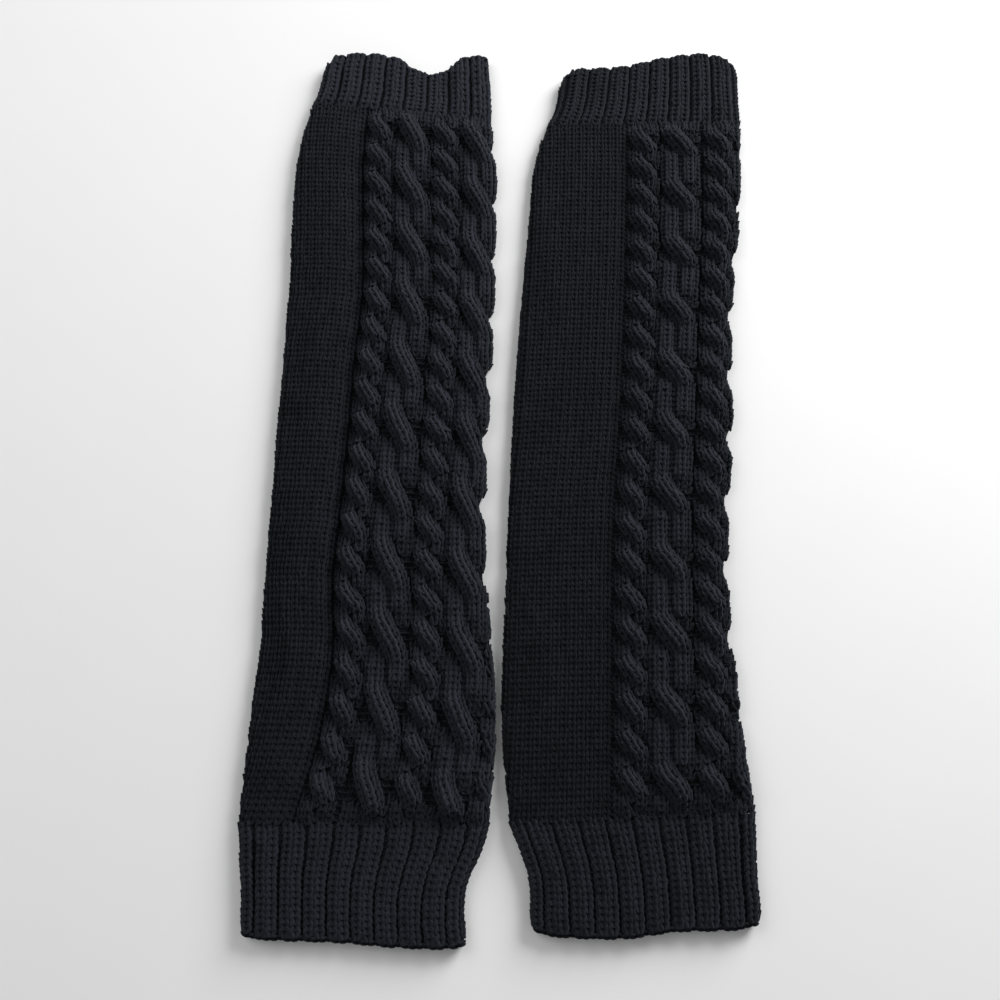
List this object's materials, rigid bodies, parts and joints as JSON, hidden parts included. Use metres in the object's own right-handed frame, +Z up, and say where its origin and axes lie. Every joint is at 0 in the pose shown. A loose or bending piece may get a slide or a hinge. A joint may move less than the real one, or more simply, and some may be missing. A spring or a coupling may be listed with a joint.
{
  "type": "pair of arm warmers",
  "caption": "Pair of knitted arm warmers laid flat: tapering tubes with a plain panel, a band of twisted cables that runs round one fold, and a ribbed cuff at each end.",
  "frame": {"origin": "on the surface the pair lies on, at the middle of the pair's width and length", "axes": "+X across the pair towards the right-hand warmer, +Y along the warmers towards the upper cuffs, +Z up from the surface"},
  "size_m": [0.2204, 0.4106, 0.0119],
  "materials": {
    "body_yarn": "matt, slightly fuzzy black yarn with a little navy",
    "cuff_yarn": "matt, slightly fuzzy black yarn with a little navy, ribbed"
  },
  "bodies": {
    "root": {"left_body": "body_yarn", "left_upper_cuff": "cuff_yarn", "left_lower_cuff": "cuff_yarn", "right_body": "body_yarn", "right_upper_cuff": "cuff_yarn", "right_lower_cuff": "cuff_yarn"}
  },
  "joints": []
}
